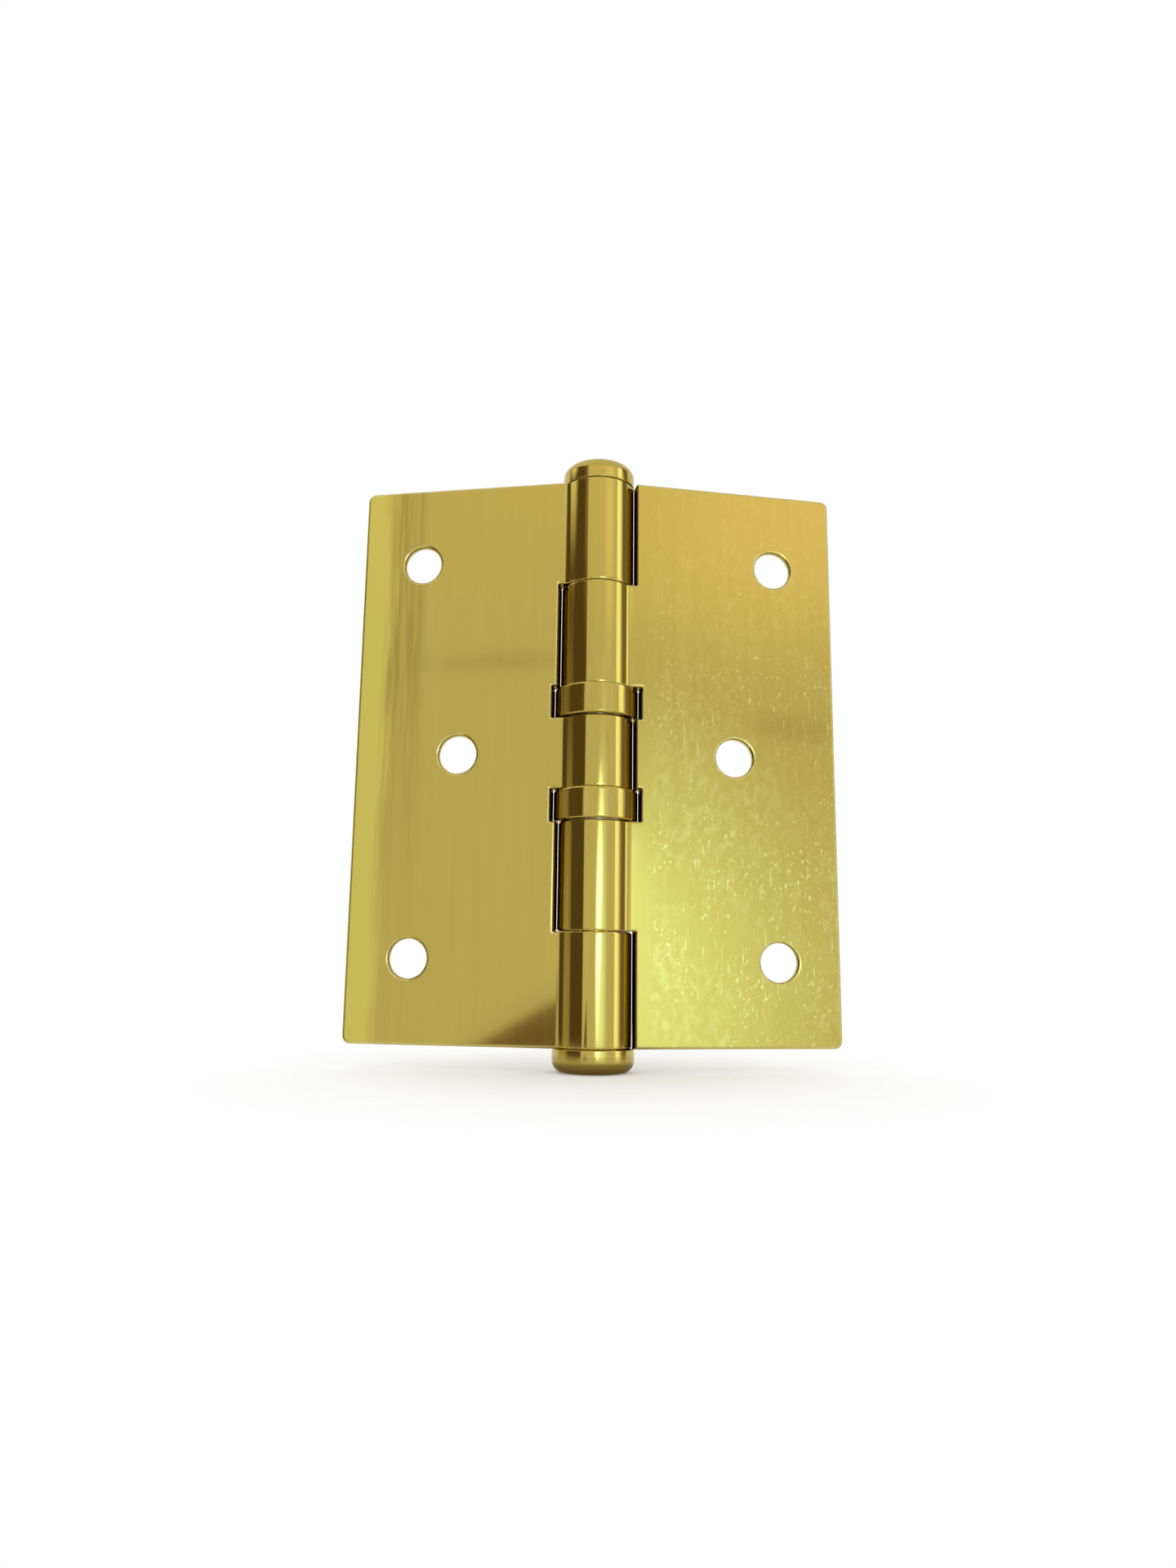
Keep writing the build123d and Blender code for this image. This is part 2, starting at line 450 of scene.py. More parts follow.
@dataclass(frozen=True)
class PaintedReflectionBand:
    """A painted reflection: a darker, greyer wavy band down the back of a leaf, streaked with fine lines,
    with a paler painted rim outside it; sizes in millimetres.

    Attributes:
        wave: Size of one bend of the band along X, Y and Z.
        line: Size of one fine line in the band along X, Y and Z.
        lean: Degrees that the lines lean from upright.
        sway: How far the waves, and again the lines, push the band sideways.
        rim_edge: Place across the leaf where the rim ends, and where the band is full.
        inner_edge: Place across the leaf where the band ends, and where it is full.
        line_level: Noise level at which a line starts, and at which it is full.
        between_lines: Share of the band's darkening left between the lines.
        rise: Height at which the band is faintest, and at which it is full.
        faintest: Share of the band's darkening low on the leaf.
        back: Depth at which the painted band and rim start, and at which they are full.
        dull: Tint of the painted reflection band.
        rim: Colour of the paler painted rim.
    """

    wave: tuple[float, float, float] = (9.0, 9.0, 22.0)
    line: tuple[float, float, float] = (0.7, 0.7, 15.0)
    lean: float = 3.0
    sway: float = 3.0
    rim_edge: tuple[float, float] = (-31.8, -29.2)
    inner_edge: tuple[float, float] = (-23.6, -25.8)
    line_level: tuple[float, float] = (0.40, 0.58)
    between_lines: float = 0.3
    rise: tuple[float, float] = (-22.0, 18.0)
    faintest: float = 0.1
    back: tuple[float, float] = (-3.0, -3.8)
    dull: str = "#E4E4DA"
    rim: str = "#C7BA5A"

    def add_painted_light(self, tree: bpy.types.NodeTree, place: bpy.types.NodeSocket,
            colour: bpy.types.NodeSocket) -> bpy.types.NodeSocket:
        """Paints the darker reflection band and the paler rim.

        Args:
            tree: The material's node tree.
            place: Coordinates in millimetres.
            colour: Colour so far.

        Returns:
            The colour with the band.
        """
        across = add_node(tree, "ShaderNodeSeparateXYZ", {}, {"Vector": place})
        bent = across.outputs["X"]
        for size, lean, detail in ((self.wave, 0.0, 2.0), (self.line, self.lean, 3.0)):
            spread = add_node(tree, "ShaderNodeMapping", {}, {
                "Vector": place, "Rotation": (0, math.radians(lean), 0),
                "Scale": [1 / length for length in size]})
            noise = add_node(tree, "ShaderNodeTexNoise", {}, {
                "Vector": spread.outputs[0], "Scale": 1.0, "Detail": detail})
            bent = add_node(tree, "ShaderNodeMath", {"operation": "MULTIPLY_ADD"}, {
                0: noise.outputs["Fac"], 1: self.sway, 2: bent}).outputs[0]
        lines = noise.outputs["Fac"]    # the noise made last
        band_share: Optional[bpy.types.NodeSocket] = None
        for value, (start, full), least, easing in (
            (lines, self.line_level, self.between_lines, "LINEAR"),
            (bent, self.inner_edge, 0.0, "SMOOTHSTEP"),
            (across.outputs["Z"], self.rise, self.faintest, "LINEAR"),
        ):
            share = add_node(tree, "ShaderNodeMapRange", {"interpolation_type": easing}, {
                "Value": value, "From Min": start, "From Max": full, "To Min": least}).outputs[0]
            band_share = share if band_share is None else add_node(
                tree, "ShaderNodeMath", {"operation": "MULTIPLY"}, {0: band_share, 1: share}).outputs[0]
        # Painted reflection: darkens the band and lays the paler rim outside it.
        darkened_band = add_node(tree, "ShaderNodeMix", {"data_type": "RGBA", "blend_type": "MULTIPLY"}, {
            MIX_SHARE: band_share, MIX_FROM: colour, MIX_TO: linear(self.dull)})
        inside = add_node(tree, "ShaderNodeMapRange", {"interpolation_type": "SMOOTHSTEP"}, {
            "Value": bent, "From Min": self.rim_edge[0], "From Max": self.rim_edge[1]})
        banded = add_node(tree, "ShaderNodeMix", {"data_type": "RGBA"}, {
            MIX_SHARE: inside.outputs[0], MIX_FROM: linear(self.rim), MIX_TO: darkened_band.outputs[MIX_RESULT]})
        on_back = add_node(tree, "ShaderNodeMapRange", {}, {
            "Value": across.outputs["Y"], "From Min": self.back[0], "From Max": self.back[1]})
        return add_node(tree, "ShaderNodeMix", {"data_type": "RGBA"}, {
            MIX_SHARE: on_back.outputs[0], MIX_FROM: colour,
            MIX_TO: banded.outputs[MIX_RESULT]}).outputs[MIX_RESULT]


@dataclass(frozen=True)
class LacquerWear:
    """How the lacquer marks lie on a leaf: most of them low down, none on the barrel; sizes in millimetres.

    Attributes:
        fall: Height at which the marks are fewest, and at which they are most.
        fewest: Share of the marks high on the leaf.
        flat_from: Distance from the pin axis at which the marks start, and at which they are full.
        colour: Colour of a mark.
        roughness: Roughness that a full mark adds.
    """

    fall: tuple[float, float] = (40.0, -25.0)
    fewest: float = 0.2
    flat_from: tuple[float, float] = (7.0, 9.0)
    colour: str = "#E9E196"
    roughness: float = 0.22

    def mark(self, tree: bpy.types.NodeTree, place: bpy.types.NodeSocket, colour: bpy.types.NodeSocket,
             rough: bpy.types.NodeSocket) -> tuple[bpy.types.NodeSocket, bpy.types.NodeSocket]:
        """Adds every kind of mark.

        Args:
            tree: The material's node tree.
            place: Coordinates in millimetres.
            colour: Colour so far.
            rough: Roughness so far.

        Returns:
            Colour and roughness with the marks.
        """
        where = add_node(tree, "ShaderNodeSeparateXYZ", {}, {"Vector": place})
        lower = add_node(tree, "ShaderNodeMapRange", {}, {
            "Value": where.outputs["Z"], "From Min": self.fall[0], "From Max": self.fall[1],
            "To Min": self.fewest})
        flat = add_node(tree, "ShaderNodeMapRange", {}, {
            "Value": where.outputs["X"], "From Min": self.flat_from[0], "From Max": self.flat_from[1]})
        amount = add_node(tree, "ShaderNodeMath", {"operation": "MULTIPLY"}, {
            0: lower.outputs[0], 1: flat.outputs[0]}).outputs[0]
        marks: Optional[bpy.types.NodeSocket] = None
        for kind in LACQUER_MARKS:
            spot = kind.spots(tree, place)
            marks = spot if marks is None else add_node(
                tree, "ShaderNodeMath", {"operation": "MAXIMUM"}, {0: marks, 1: spot}).outputs[0]
        amount = add_node(tree, "ShaderNodeMath", {"operation": "MULTIPLY", "use_clamp": True}, {
            0: amount, 1: marks}).outputs[0]
        marked_colour = add_node(tree, "ShaderNodeMix", {"data_type": "RGBA"}, {
            MIX_SHARE: amount, MIX_FROM: colour, MIX_TO: linear(self.colour)})
        marked_rough = add_node(tree, "ShaderNodeMath", {"operation": "MULTIPLY_ADD"}, {
            0: amount, 1: self.roughness, 2: rough})
        return marked_colour.outputs[MIX_RESULT], marked_rough.outputs[0]


@dataclass(frozen=True)
class BuffedLeafBrass(MetalFinish):
    """Rolled brass plate, buffed to a mirror and lacquered.

    Attributes:
        fold: Degrees that the leaf is turned about the pin axis.
        leaf_marks: Which marks, or which painted reflection, this leaf carries.
    """

    fold: float = 0.0
    leaf_marks: LeafMarks = LeafMarks.BUFFED_BAND

    def place_mm(self, tree: bpy.types.NodeTree) -> bpy.types.NodeSocket:
        """Adds coordinates in millimetres that turn with the leaf."""
        return add_node(tree, "ShaderNodeMapping", {"vector_type": "TEXTURE"}, {
            "Vector": add_node(tree, "ShaderNodeTexCoord").outputs["Object"],
            "Location": (PIN_AXIS.x, PIN_AXIS.y, 0), "Rotation": (0, 0, math.radians(self.fold)),
            "Scale": (MM, MM, MM)}).outputs[0]

    def marks(self, tree: bpy.types.NodeTree, place: bpy.types.NodeSocket, colour: bpy.types.NodeSocket,
              rough: bpy.types.NodeSocket, height: bpy.types.NodeSocket,
              ) -> tuple[bpy.types.NodeSocket, bpy.types.NodeSocket, bpy.types.NodeSocket]:
        """Adds the leaf's own marks, or its painted reflection band.

        Args:
            tree: The material's node tree.
            place: Coordinates in millimetres.
            colour: Colour so far.
            rough: Roughness so far.
            height: Relief so far.

        Returns:
            Colour, roughness and relief with the marks.
        """
        # The band is a painted reflection; the specks are marks in the lacquer.
        if self.leaf_marks is LeafMarks.BUFFED_BAND:
            return PaintedReflectionBand().add_painted_light(tree, place, colour), rough, height
        return LacquerWear().mark(tree, place, colour, rough) + (height,)


# Cartridge brass sheet, rolled, buffed and lacquered: a warm mirror with faint upright streaks.
# Its back carries a painted reflection band, and its edges a painted highlight.
FRAME_LEAF_BRASS = BuffedLeafBrass(
    "buffed_rolled_brass", "#B5A24F", "#B8A552", (0.05, 0.08), (1.4, 1.4, 38.0), 1e-6, rounded_edge_highlight=RoundedEdgeHighlight())
# The same sheet after handling: specks and smudges scatter the light over the mirror.
# Its edges carry a painted highlight.
DOOR_LEAF_BRASS = BuffedLeafBrass(
    "handled_buffed_brass", "#B4A14E", "#B8A551", (0.06, 0.11), (1.4, 1.4, 38.0), 1.5e-6,
    rounded_edge_highlight=RoundedEdgeHighlight(), fold=20.0, leaf_marks=LeafMarks.SPECKLED)
# Free-cutting brass bar, turned and polished: fine rings round the axis break up the highlights.
PIN_BRASS = MetalFinish("turned_brass", "#B09C4A", "#BDA957", (0.07, 0.15), (9.0, 9.0, 0.35), 1.5e-6)
# Deep-drawn brass strip, barrelled: softer highlights with faint draw lines up the side.
SHELL_BRASS = MetalFinish("drawn_brass", "#B19D4B", "#BEAA58", (0.08, 0.16), (0.9, 0.9, 7.0), 2e-6)
# Through-hardened chrome steel, ground: a grey mirror with grinding rings.
RACE_STEEL = MetalFinish("ground_chrome_steel", "#A5A7A8", "#B9BBBC", (0.12, 0.24), (5.0, 5.0, 0.2), 1e-6)
# Chrome steel balls, lapped: almost without grain.
BALL_STEEL = MetalFinish("lapped_chrome_steel", "#B4B6B8", "#C4C6C8", (0.04, 0.08), (0.6, 0.6, 0.6), 3e-7)
# Half-hard brass strip, stamped and left plain: a satin, slightly mottled yellow.
CAGE_BRASS = MetalFinish("stamped_brass", "#A8904A", "#BCA35B", (0.25, 0.42), (0.8, 0.8, 0.8), 3e-6)


class SmoothShading:
    """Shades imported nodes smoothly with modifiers, since their meshes stay as they are."""

    sharp_from = math.radians(50)
    flat_within = math.radians(0.6)
    plate_from = 60 * MM * MM  # a larger face is a plain flat, and mirrors without bending
    largest_face = 100         # weight at which a corner takes the normal of its largest face

    def __init__(self) -> None:
        """Makes the node group that drops the loaded normals and keeps the true edges sharp."""
        group = bpy.data.node_groups.new("true_edges", "GeometryNodeTree")
        for way in ("INPUT", "OUTPUT"):
            group.interface.new_socket("Geometry", in_out=way, socket_type="NodeSocketGeometry")
        angle = add_node(group, "GeometryNodeInputMeshEdgeAngle").outputs["Unsigned Angle"]
        area = add_node(group, "GeometryNodeInputMeshFaceArea").outputs["Area"]
        above = {"data_type": "FLOAT", "operation": "GREATER_THAN"}
        sharp = add_node(group, "FunctionNodeCompare", above, {0: angle, 1: self.sharp_from})
        plate = add_node(group, "FunctionNodeCompare", above, {0: area, 1: self.plate_from})
        shaded = add_node(group, "GeometryNodeSetMeshNormal", {"mode": "SHARPNESS"}, {
            "Mesh": add_node(group, "NodeGroupInput").outputs[0], "Remove Custom": True,
            "Edge Sharpness": sharp.outputs[0], "Face Sharpness": plate.outputs[0]})
        add_node(group, "NodeGroupOutput", {}, {0: shaded.outputs[0]})
        self.group = group

    def apply_to(self, node: bpy.types.Object) -> None:
        """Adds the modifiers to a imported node.

        Args:
            node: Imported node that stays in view.
        """
        joined = node.modifiers.new("join_facets", "WELD")
        joined.merge_threshold = NEAR
        flat = node.modifiers.new("join_flats", "DECIMATE")
        flat.decimate_type = "DISSOLVE"
        flat.angle_limit = self.flat_within
        edges = node.modifiers.new("true_edges", "NODES")
        edges.node_group = self.group
        even = node.modifiers.new("even_normals", "WEIGHTED_NORMAL")
        even.keep_sharp = True
        even.weight = self.largest_face


def dress_node(name: str, material: bpy.types.Material, shading: SmoothShading) -> None:
    """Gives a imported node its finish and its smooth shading.

    Args:
        name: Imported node.
        material: Finish for all of it.
        shading: Modifiers for it.
    """
    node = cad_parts[name]
    shading.apply_to(node)
    for slot in node.material_slots:
        slot.material = material
    log.info("dressed %s in %s", name, material.name)


def stand_in(piece: bpy.types.Object, node: str, body: str,
             material: bpy.types.Material) -> None:
    """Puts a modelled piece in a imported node's place.

    Args:
        piece: Finished piece.
        node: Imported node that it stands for.
        body: Body that it rides on.
        material: Its finish.
    """
    piece.data.materials.clear()
    piece.data.materials.append(material)
    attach(piece, body)
    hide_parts(node)
    log.info("modelled %s for %s", piece.name, node)


@dataclass
class HingeLeaf:
    """A leaf with its rolled knuckles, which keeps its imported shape.

    Attributes:
        node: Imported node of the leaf.
        finish: Its brass.
    """

    node: str
    finish: BuffedLeafBrass

    def dress(self, shading: SmoothShading) -> None:
        """Gives the leaf its finish and its smooth shading."""
        dress_node(self.node, self.finish.material(), shading)


@dataclass
class PinAndPlug:
    """The lift-out pin with its button head, and the button that closes the barrel below.

    Attributes:
        pin_radius: Radius of the shank.
        pin_lead: Chamfer on the shank's end.
        spigot_radius: Radius of the plug's spigot.
        spigot_chamfer: Chamfer on the spigot's end.
        knock_out_radius: Hole through the plug to drive the pin out.
        button_height: Height of either button.
        button_round: Round on a button's outer edge.
        seat_round: Round on a button's edge against the barrel.
        hole_round: Round at the mouth of the plug's hole.
    """

    pin_radius: float = 3.2 * MM
    pin_lead: float = 0.9 * MM
    spigot_radius: float = 3.23 * MM
    spigot_chamfer: float = 0.5 * MM
    knock_out_radius: float = 1.3 * MM
    button_height: float = 3.6 * MM
    button_round: float = 1.9 * MM
    seat_round: float = 0.15 * MM
    hole_round: float = 0.3 * MM

    def build(self, material: bpy.types.Material) -> None:
        """Turns the pin and the plug and puts them in their nodes' places.

        Args:
            material: Finish of both.
        """
        stand_in(self.pin().build(), "hinge_pin", "pin", material)
        stand_in(self.plug().build(), "bottom_plug", "frame", material)

    def pin(self) -> TurnedPiece:
        """Lays out the pin from its lower end to the top of its head.

        Returns:
            The pin's turned form.
        """
        low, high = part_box("hinge_pin")
        head_radius = (high[0] - low[0]) / 2
        seat = high[2] - self.button_height
        profile = [
            (self.pin_radius - self.pin_lead, low[2]), (self.pin_radius, low[2] + self.pin_lead),
            (self.pin_radius, seat), (head_radius, seat), (head_radius, high[2]),
        ]
        rounds = [
            EdgeRound(head_radius, high[2], self.button_round),
            EdgeRound(head_radius, seat, self.seat_round),
        ]
        return TurnedPiece("turned_hinge_pin", profile, has_bore=False, rounds=rounds)

    def plug(self) -> TurnedPiece:
        """Lays out the plug from the mouth of its hole, round the button and up the spigot.

        Returns:
            The plug's turned form.
        """
        low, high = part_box("bottom_plug")
        button_radius = (high[0] - low[0]) / 2
        seat = low[2] + self.button_height
        profile = [
            (self.knock_out_radius, low[2]), (button_radius, low[2]), (button_radius, seat),
            (self.spigot_radius, seat), (self.spigot_radius, high[2] - self.spigot_chamfer),
            (self.spigot_radius - self.spigot_chamfer, high[2]), (self.knock_out_radius, high[2]),
        ]
        rounds = [
            EdgeRound(button_radius, low[2], self.button_round),
            EdgeRound(button_radius, seat, self.seat_round),
            EdgeRound(self.knock_out_radius, low[2], self.hole_round),
        ]
        return TurnedPiece("turned_bottom_plug", profile, has_bore=True, rounds=rounds)


@dataclass
class BallBearing:
    """One ball bearing: its drawn shell, its set of balls, and the races and cage round them.

    Attributes:
        place: Upper or lower, as its nodes are named.
        shell_body: Body that the shell rides on.
        bore_radius: Radius of the shell's hole for the pin.
        wall: Thickness of the shell.
        shell_round: Round on the shell's upper edge.
        rim_round: Round on the shell's open rim.
        ball_radius: Radius of a ball.
        ball_count: Balls in the set.
        ball_cuts: Cuts across each side of the cube that becomes a ball.
    """

    place: str
    shell_body: str
    bore_radius: float = 3.3 * MM
    wall: float = 1.2 * MM
    shell_round: float = 0.5 * MM
    rim_round: float = 0.35 * MM
    ball_radius: float = 0.75 * MM
    ball_count: int = 10
    ball_cuts: int = 7

    def build(self, shell_material: bpy.types.Material, ball_material: bpy.types.Material) -> None:
        """Models the shell and the balls and puts them in their nodes' places.

        Args:
            shell_material: Finish of the shell.
            ball_material: Finish of the balls.
        """
        shell_node, ball_node = self.place + "_bearing_shell", self.place + "_balls"
        stand_in(self.shell(shell_node).build(), shell_node, self.shell_body, shell_material)
        stand_in(self.balls(ball_node), ball_node, self.place + "_ball_set", ball_material)

    def dress(self, race_material: bpy.types.Material, cage_material: bpy.types.Material,
              shading: SmoothShading) -> None:
        """Gives the races and the cage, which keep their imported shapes, their finishes.

        Args:
            race_material: Finish of both races.
            cage_material: Finish of the cage.
            shading: Modifiers for them.
        """
        for race in ("_top_race", "_bottom_race"):
            dress_node(self.place + race, race_material, shading)
        dress_node(self.place + "_ball_cage", cage_material, shading)

    def shell(self, node: str) -> TurnedPiece:
        """Lays out the shell, a cup open below.

        Args:
            node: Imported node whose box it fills.

        Returns:
            The shell's turned form.
        """
        low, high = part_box(node)
        outer = (high[0] - low[0]) / 2
        inner = outer - self.wall
        ceiling = high[2] - self.wall
        profile = [
            (self.bore_radius, high[2]), (outer, high[2]), (outer, low[2]), (inner, low[2]),
            (inner, ceiling), (self.bore_radius, ceiling),
        ]
        rounds = [
            EdgeRound(outer, high[2], self.shell_round), EdgeRound(outer, low[2], self.rim_round),
            EdgeRound(inner, low[2], self.rim_round / 2),
        ]
        return TurnedPiece("drawn_" + node, profile, has_bore=True, rounds=rounds)

    def balls(self, node: str) -> bpy.types.Object:
        """Models one ball from a cube and copies it round the pitch circle.

        Args:
            node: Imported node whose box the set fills.

        Returns:
            The set of balls, as one object.
        """
        low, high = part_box(node)
        pitch_radius = (high[0] - low[0]) / 2 - self.ball_radius
        middle = Vector((PIN_AXIS.x, PIN_AXIS.y, (low[2] + high[2]) / 2))
        bpy.ops.object.select_all(action="DESELECT")
        bpy.ops.mesh.primitive_cube_add(size=2 * self.ball_radius)
        balls = bpy.context.object
        with editing(balls):
            bpy.ops.mesh.select_all(action="SELECT")
            bpy.ops.mesh.subdivide(number_cuts=self.ball_cuts)
            bpy.ops.transform.tosphere(value=1.0)
        reach = max(corner.co.length for corner in balls.data.vertices)
        balls.scale = [self.ball_radius / reach] * 3
        balls.location = middle + Vector((pitch_radius, 0, 0))
        bpy.ops.object.transform_apply(location=True, rotation=True, scale=True)
        with editing(balls):
            bpy.ops.mesh.select_all(action="SELECT")
            for _ in range(self.ball_count - 1):
                bpy.ops.mesh.duplicate()
                bpy.ops.transform.rotate(
                    value=math.tau / self.ball_count, orient_axis="Z", center_override=middle)
        return finish_mesh(balls, "lapped_" + node, BALL_SMOOTH_BELOW)


def direction(azimuth: float, elevation: float) -> Vector:
    """Gives a direction from the hinge.

    Args:
        azimuth: Degrees round from -Y, positive to +X.
        elevation: Degrees above level.

    Returns:
        A unit vector.
    """
    turn, rise = math.radians(azimuth), math.radians(elevation)
    return Vector((math.sin(turn) * math.cos(rise), -math.cos(turn) * math.cos(rise), math.sin(rise)))


@dataclass(frozen=True)
class Card:
    """A card out of the picture that the metal reflects.

    Attributes:
        name: Name of the card.
        azimuth: Degrees round from -Y, positive to +X.
        elevation: Degrees above the pin's middle.
        width: Width in metres.
        height: Height in metres.
        colour: Colour of its light.
        strength: Its brightness, where 1 is the white round it.
        soft: Whether it fades out towards its edges.
        roll: Degrees turned in its own plane.
        distance: Metres from the pin's middle.
        deep: Whether only light that has bounced twice meets it, so that it paints shade into narrow gaps
            alone.
    """

    name: str
    azimuth: float
    elevation: float
    width: float
    height: float
    colour: str
    strength: float
    soft: bool = False
    roll: float = 0.0
    distance: float = 0.6
    deep: bool = False

    def build(self) -> None:
        """Stands the card up facing the hinge, where only reflections show it."""
        bpy.ops.object.select_all(action="DESELECT")
        bpy.ops.mesh.primitive_plane_add(size=2)
        card = bpy.context.object
        card.name = self.name
        away = direction(self.azimuth, self.elevation)
        turn = away.to_track_quat("Z", "Y").to_matrix().to_4x4()
        spin = Matrix.Rotation(math.radians(self.roll), 4, "Z")
        size = Matrix.Diagonal((self.width / 2, self.height / 2, 1, 1))
        card.matrix_world = Matrix.Translation(PIN_AXIS + away * self.distance) @ turn @ spin @ size
        card.data.materials.append(self.material())
        for ray in ("camera", "diffuse", "shadow", "transmission", "volume_scatter"):
            setattr(card, "visible_" + ray, False)

    def material(self) -> bpy.types.Material:
        """Makes the card's light, which fades from its middle if the card is soft.

        Returns:
            The material.
        """
        material, tree = new_material(self.name)
        surface = add_node(tree, "ShaderNodeEmission", {}, {
            "Color": linear(self.colour), "Strength": self.strength}).outputs[0]
        if self.soft:
            surface = faded(tree, surface)
        # Painted shade: only a second reflection or a later one sees the card, and other rays pass through.
        if self.deep:
            bounces = add_node(tree, "ShaderNodeLightPath").outputs["Glossy Depth"]
            twice = add_node(tree, "ShaderNodeMath", {"operation": "GREATER_THAN"}, {
                0: bounces, 1: SECOND_BOUNCE})
            clear = add_node(tree, "ShaderNodeBsdfTransparent")
            surface = add_node(tree, "ShaderNodeMixShader", {}, {
                0: twice.outputs[0], 1: clear.outputs[0], 2: surface}).outputs[0]
        add_node(tree, "ShaderNodeOutputMaterial", {}, {"Surface": surface})
        return material


def faded(tree: bpy.types.NodeTree, surface: bpy.types.NodeSocket) -> bpy.types.NodeSocket:
    """Fades a stage surface of half-width 1 to nothing, from its middle to its rim.

    Args:
        tree: The material's node tree.
        surface: Shader in the middle.

    Returns:
        The faded shader.
    """
    place = add_node(tree, "ShaderNodeTexCoord").outputs["Object"]
    fall = add_node(tree, "ShaderNodeTexGradient", {"gradient_type": "SPHERICAL"}, {"Vector": place})
    ease = add_node(tree, "ShaderNodeMapRange", {"interpolation_type": "SMOOTHSTEP"}, {
        "Value": fall.outputs["Fac"]})
    clear = add_node(tree, "ShaderNodeBsdfTransparent")
    return add_node(tree, "ShaderNodeMixShader", {}, {
        0: ease.outputs[0], 1: clear.outputs[0], 2: surface}).outputs[0]


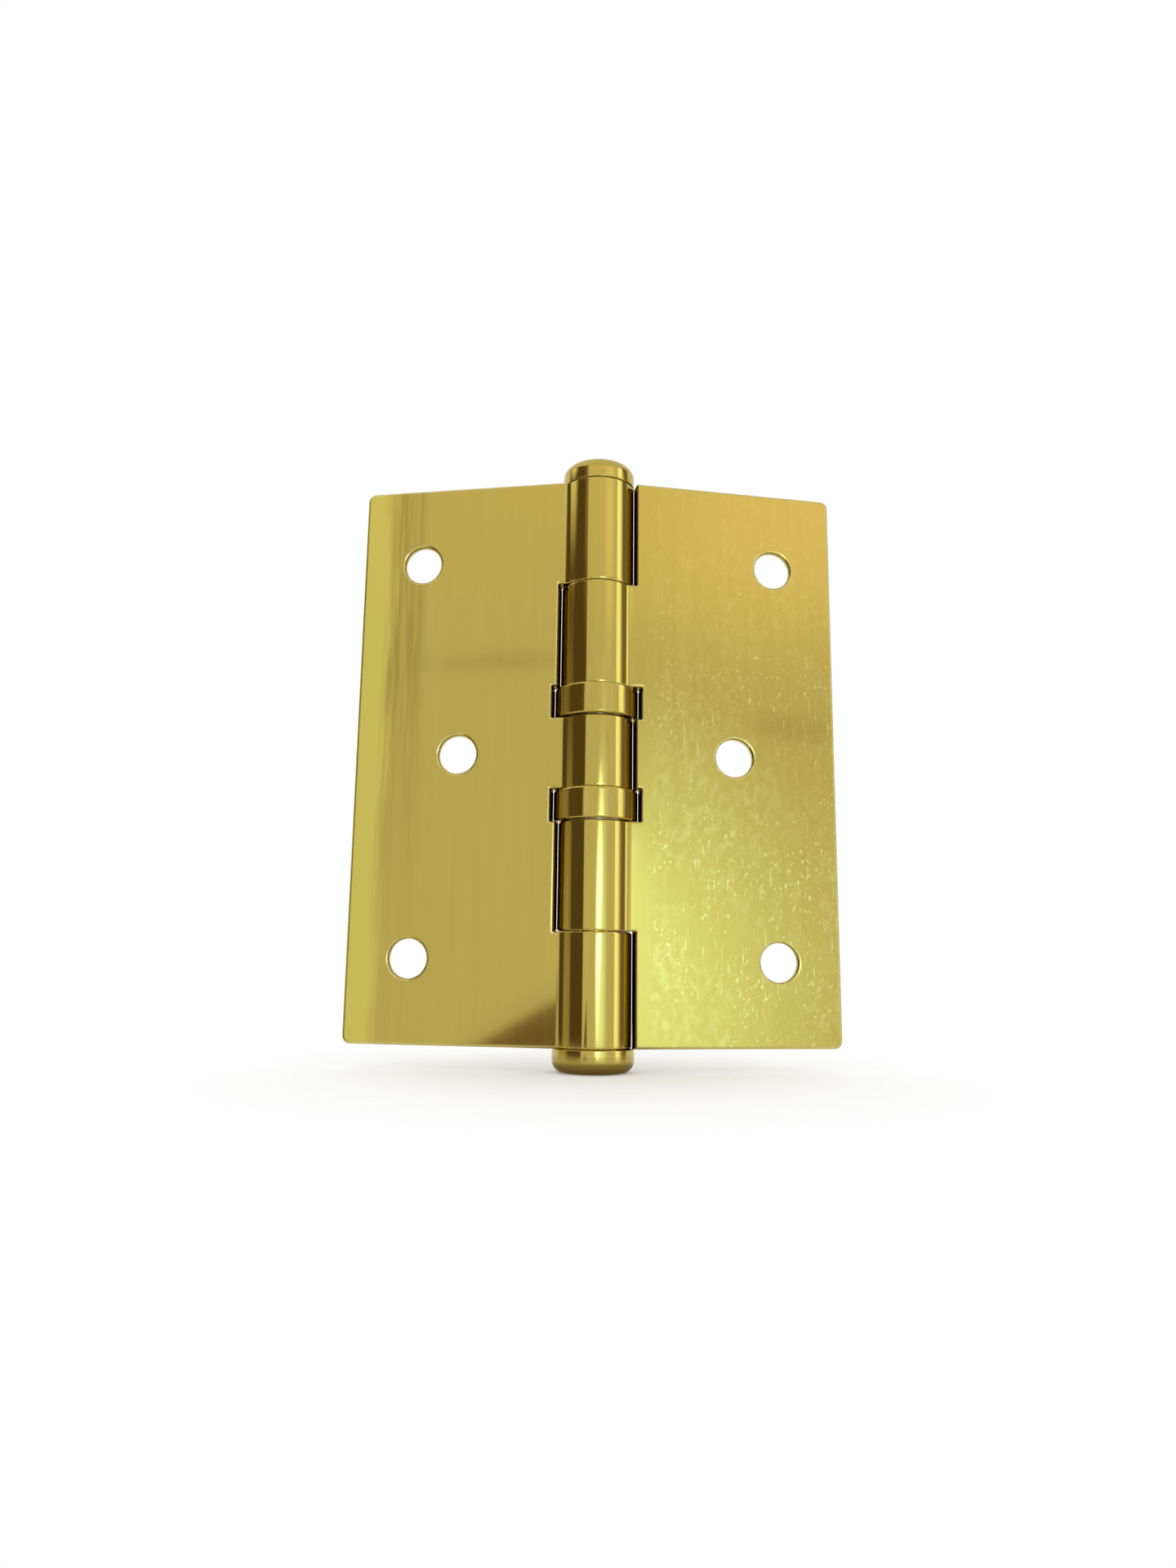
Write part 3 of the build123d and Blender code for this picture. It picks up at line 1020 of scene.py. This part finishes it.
@dataclass
class Studio:
    """A white room, a pale floor under the hinge, and the cards that the brass reflects.

    Attributes:
        floor_radius: Radius at which the floor has faded into the white.
        floor_albedo: Share of the light that the floor gives back.
        cards: Cards round the hinge.
    """

    floor_radius: float = 70 * MM
    floor_albedo: float = 0.85
    cards: Sequence[Card] = (
        # A bright stripe down the barrel, and a glow over the lower half of the door leaf.
        Card("window", 24, -1, 0.28, 0.26, "#C8DCFF", 10.5, soft=True),
        Card("window_glow", 30, -6, 0.49, 0.56, "#D8F2FF", 2.4, soft=True),
        # Warm light on the upper halves of both leaves.
        Card("ceiling_glow", 10, 33, 1.2, 0.36, "#FFF3E8", 1.2, soft=True),
        Card("lamp_glow", 46, 27, 0.46, 0.31, "#FFF2EE", 1.5, soft=True),
        # The barrel's right side: a narrow bright line, and the brown beyond it.
        Card("side_window", 80, 10, 0.15, 0.55, "#F2F6FF", 2.3),
        Card("right_flag", 104, 8, 0.2, 0.8, "#9A8A70", 1.0),
        # The barrel's left side: a dark stripe, a paler flank and a light stripe near the top.
        Card("left_flag", -61, 0, 2.95, 3.2, "#6E5E48", 1.0, distance=2.0),
        Card("left_wall", -86, -4, 2.4, 2.2, "#D8CCAA", 1.0, soft=True, distance=1.9),
        Card("left_slit", -80, 31, 1.15, 0.72, "#FFFBE8", 1.6, soft=True, distance=1.8),
        # The frame leaf's lower corner: a brown patch, and a glow above it beside the barrel.
        Card("low_flag", -13.2, -11.2, 0.09, 0.08, "#94806E", 1.0, roll=30),
        Card("neck_glow", -10.4, -1.6, 0.034, 0.10, "#FFF8DC", 1.3, soft=True, distance=0.58),
        # A faint level line across each leaf.
        Card("left_ledge", -15.5, 17.2, 0.19, 0.016, "#FFF4EC", 0.82, soft=True, roll=5),
        Card("right_ledge", 44.4, 12.5, 0.09, 0.022, "#FFF4EC", 0.74, soft=True, roll=-10),
        # Painted shade under the plug: a dark card that darkens the plug's underside in reflection.
        Card("floor_flag", 0, -90, 0.034, 0.034, "#5E4E38", 1.0, soft=True, distance=0.053),
        # Painted shade in the narrow gaps beside the barrel: dark cards that only second reflections meet.
        Card("back_flag", 180, 12, 0.9, 0.44, "#241D14", 1.0, deep=True),
        Card("rear_right_flag", 131, 12, 0.42, 0.44, "#241D14", 1.0, deep=True),
        Card("rear_left_flag", -131, 12, 0.42, 0.44, "#241D14", 1.0, deep=True),
    )

    def build(self) -> None:
        """Builds the room, the floor and the cards."""
        scene = bpy.context.scene
        scene.view_settings.view_transform = "Standard"
        room = bpy.data.worlds.new("white_room")
        room.use_nodes = True
        room.node_tree.nodes.clear()
        light = add_node(room.node_tree, "ShaderNodeBackground", {}, {
            "Color": (1, 1, 1, 1), "Strength": 1.0})
        add_node(room.node_tree, "ShaderNodeOutputWorld", {}, {"Surface": light.outputs[0]})
        scene.world = room
        self.lay_floor()
        for card in self.cards:
            card.build()

    def lay_floor(self) -> None:
        """Lays the pale floor that takes the hinge's shadow and fades into the white room."""
        bpy.ops.object.select_all(action="DESELECT")
        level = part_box("bottom_plug")[0][2]
        bpy.ops.mesh.primitive_circle_add(
            vertices=FLOOR_STEPS, radius=1, fill_type="NGON", location=(PIN_AXIS.x, PIN_AXIS.y, level))
        floor = bpy.context.object
        floor.scale = (self.floor_radius, self.floor_radius, 1)
        floor.name = "floor"
        material, tree = new_material("matt_white_paper")
        albedo = self.floor_albedo
        paper = add_node(tree, "ShaderNodeBsdfDiffuse", {}, {"Color": (albedo, albedo, albedo, 1)})
        rays = add_node(tree, "ShaderNodeLightPath")
        seen = rays.outputs["Is Camera Ray"]
        for other in ("Is Glossy Ray", "Is Transmission Ray"):
            seen = add_node(tree, "ShaderNodeMath", {"operation": "MAXIMUM"}, {
                0: seen, 1: rays.outputs[other]}).outputs[0]
        lift = add_node(tree, "ShaderNodeMath", {"operation": "MULTIPLY"}, {0: seen, 1: 1 - albedo})
        glow = add_node(tree, "ShaderNodeEmission", {}, {"Strength": lift.outputs[0]})
        both = add_node(tree, "ShaderNodeAddShader", {}, {0: paper.outputs[0], 1: glow.outputs[0]})
        add_node(tree, "ShaderNodeOutputMaterial", {}, {"Surface": faded(tree, both.outputs[0])})
        floor.data.materials.append(material)


@dataclass
class PhotoCamera:
    """The photograph's camera, low in front of the hinge and looking slightly up.

    Attributes:
        place: Place of the lens in metres.
        yaw: Degrees turned left from +Y.
        pitch: Degrees tilted up.
        roll: Degrees rolled.
        focal_px: Focal length in pixels of the full picture.
        clip: Nearest and furthest distance seen in metres.
    """

    place: tuple[float, float, float] = (0.053507, -0.154947, -0.032567)
    yaw: float = 9.4715
    pitch: float = 9.9307
    roll: float = -0.6833
    focal_px: float = 1280.0
    clip: tuple[float, float] = (0.005, 10.0)

    def build(self) -> None:
        """Sets the scene's camera."""
        data = bpy.data.cameras.new("photo_camera")
        data.sensor_width = SENSOR_MM
        data.lens = self.focal_px / PHOTO_HEIGHT_PX * SENSOR_MM
        data.clip_start, data.clip_end = self.clip
        camera = bpy.data.objects.new("photo_camera", data)
        bpy.context.scene.collection.objects.link(camera)
        matrix = Matrix.Translation(self.place)
        for degrees, axis in ((self.yaw, "Z"), (self.pitch, "X"), (self.roll, "Y"), (90, "X")):
            matrix = matrix @ Matrix.Rotation(math.radians(degrees), 4, axis)
        camera.matrix_world = matrix
        bpy.context.scene.camera = camera


def main() -> None:
    """Models and dresses the hinge, and sets the studio and the camera."""
    shading = SmoothShading()
    for leaf in (HingeLeaf("frame_leaf", FRAME_LEAF_BRASS), HingeLeaf("door_leaf", DOOR_LEAF_BRASS)):
        leaf.dress(shading)
    PinAndPlug().build(PIN_BRASS.material())
    shell_brass, ball_steel = SHELL_BRASS.material(), BALL_STEEL.material()
    race_steel, cage_brass = RACE_STEEL.material(), CAGE_BRASS.material()
    for bearing in (BallBearing("upper", shell_body="door"), BallBearing("lower", shell_body="frame")):
        bearing.build(shell_brass, ball_steel)
        bearing.dress(race_steel, cage_brass, shading)
    Studio().build()
    PhotoCamera().build()


if __name__ == "__main__":
    logging.basicConfig(level=logging.INFO, format="%(name)s: %(message)s")
    main()
